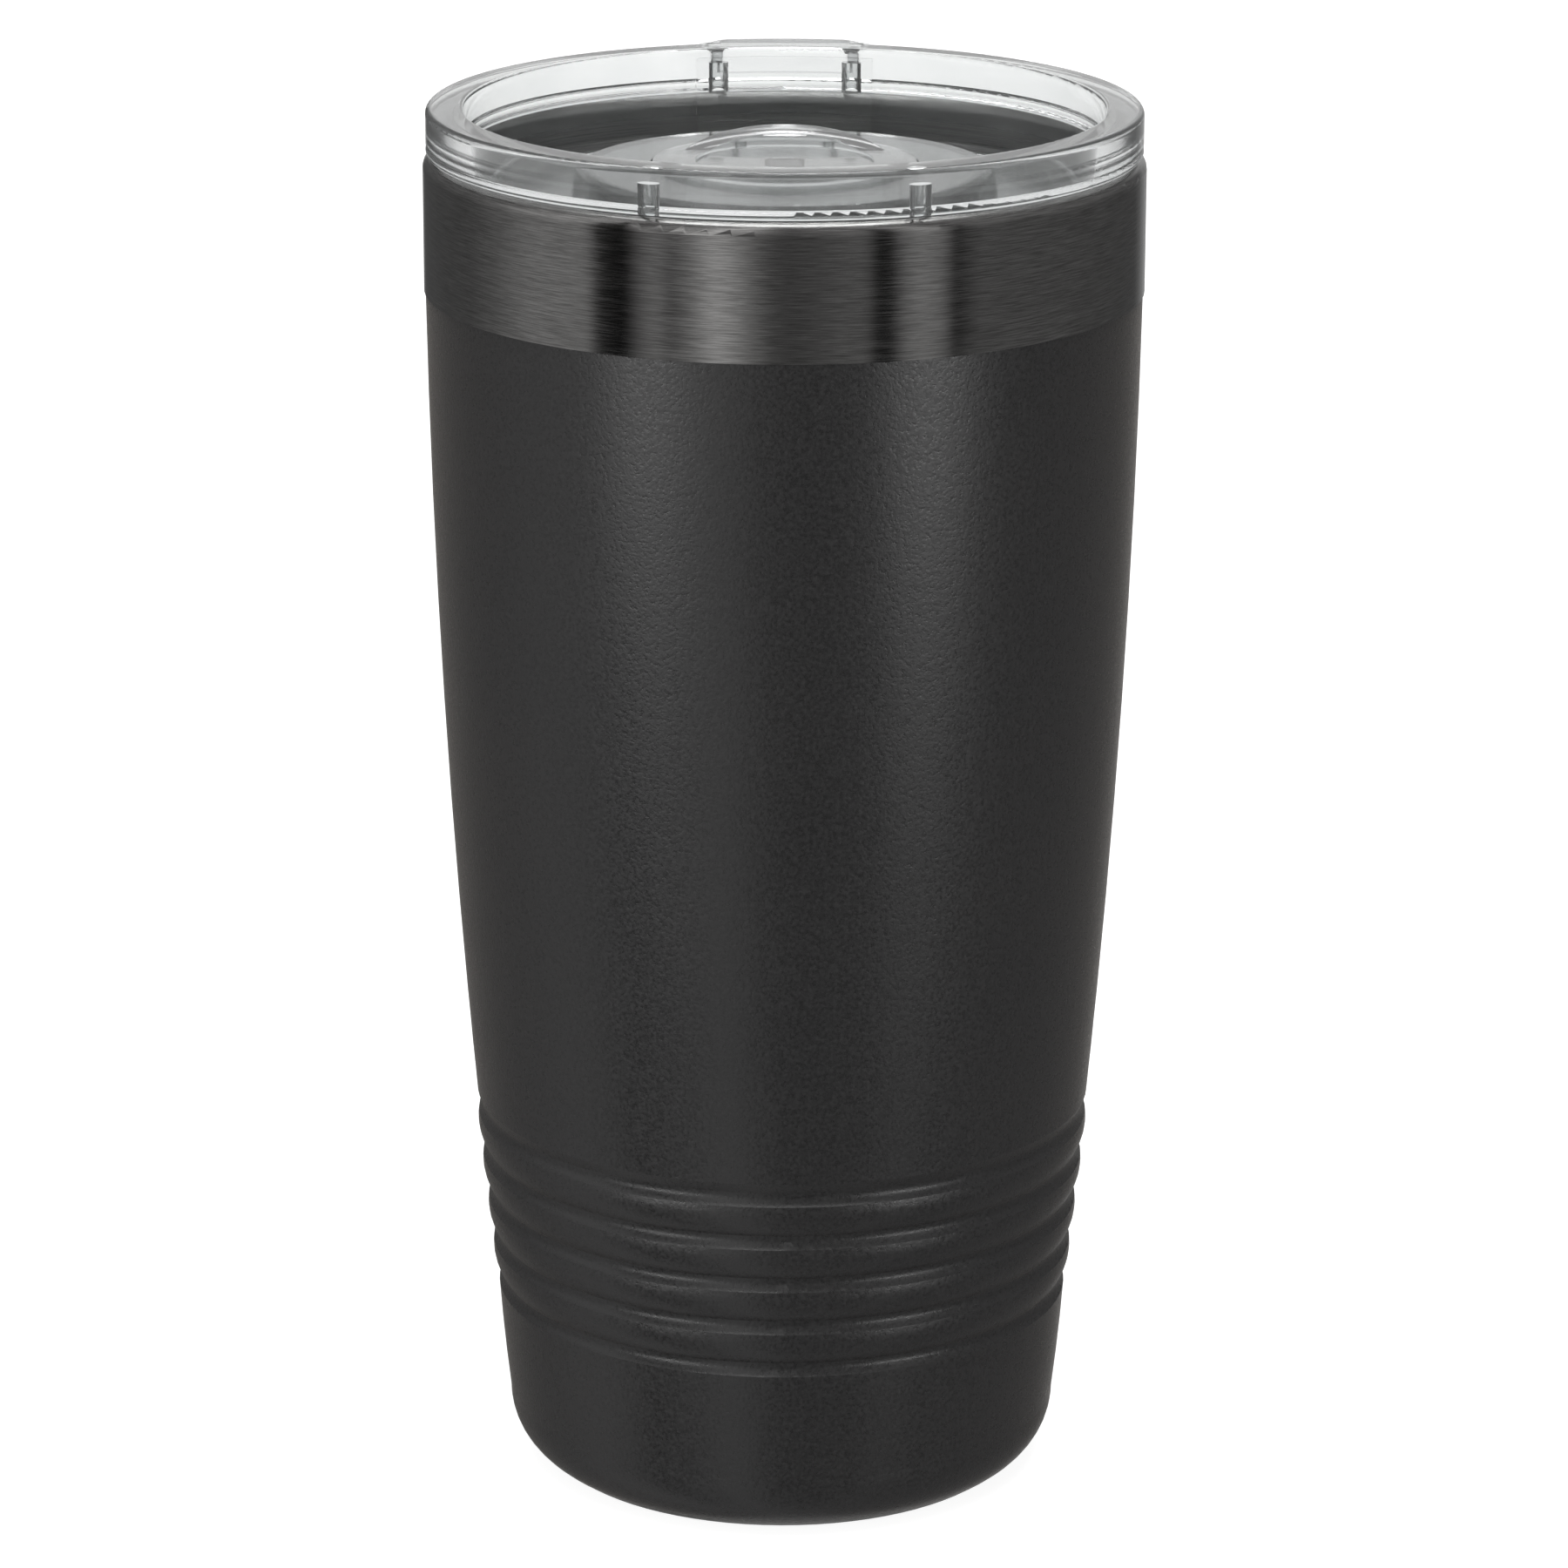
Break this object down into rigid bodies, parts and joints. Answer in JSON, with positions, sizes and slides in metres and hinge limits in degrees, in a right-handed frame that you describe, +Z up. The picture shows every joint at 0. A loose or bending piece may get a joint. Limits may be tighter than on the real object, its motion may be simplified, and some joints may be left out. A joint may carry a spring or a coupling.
{
  "type": "insulated tumbler",
  "caption": "Double-walled vacuum tumbler with a ribbed lower wall, bare metal band and clear press-in lid with a sliding drinking closure.",
  "frame": {"origin": "on the tumbler's axis at the level of the surface it stands on", "axes": "+Z up along the axis; +Y towards the drinking hole and lift tab; +X to the right seen from -Y"},
  "size_m": [0.0888, 0.0906, 0.175],
  "materials": {
    "shell_steel": "dark tinted stainless steel, brushed around the cup, satin",
    "coat": "baked powder coat, fine matt grain",
    "liner_steel": "plain stainless steel, satin",
    "base_steel": "plain stainless steel, satin",
    "bead_glass": "melted glass solder, glossy",
    "getter_metal": "pressed metal powder, dull",
    "clip_steel": "spring strip, as rolled",
    "lid_clear": "clear moulded plastic, glossy",
    "slider_clear": "clear moulded plastic, glossy",
    "silicone": "translucent silicone, matt"
  },
  "bodies": {
    "cup": {"outer_shell": "shell_steel", "powder_coat": "coat", "liner_tube": "liner_steel", "liner_base": "liner_steel", "vacuum_base": "base_steel", "seal_bead": "bead_glass", "base_cover": "base_steel", "getter_pill": "getter_metal", "getter_clip": "clip_steel"},
    "lid": {"lid_body": "lid_clear", "lid_gasket": "silicone"},
    "closure": {"slider": "slider_clear", "slider_blade": "slider_clear", "slider_seal": "silicone"}
  },
  "joints": [
    {"name": "lid_lift", "type": "slide", "parent": "cup", "child": "lid", "axis": [0, 0, 1], "range_m": [0, 0.05]},
    {"name": "slider_travel", "type": "slide", "parent": "lid", "child": "closure", "axis": [0, 1, 0], "range_m": [0, 0.012]}
  ]
}
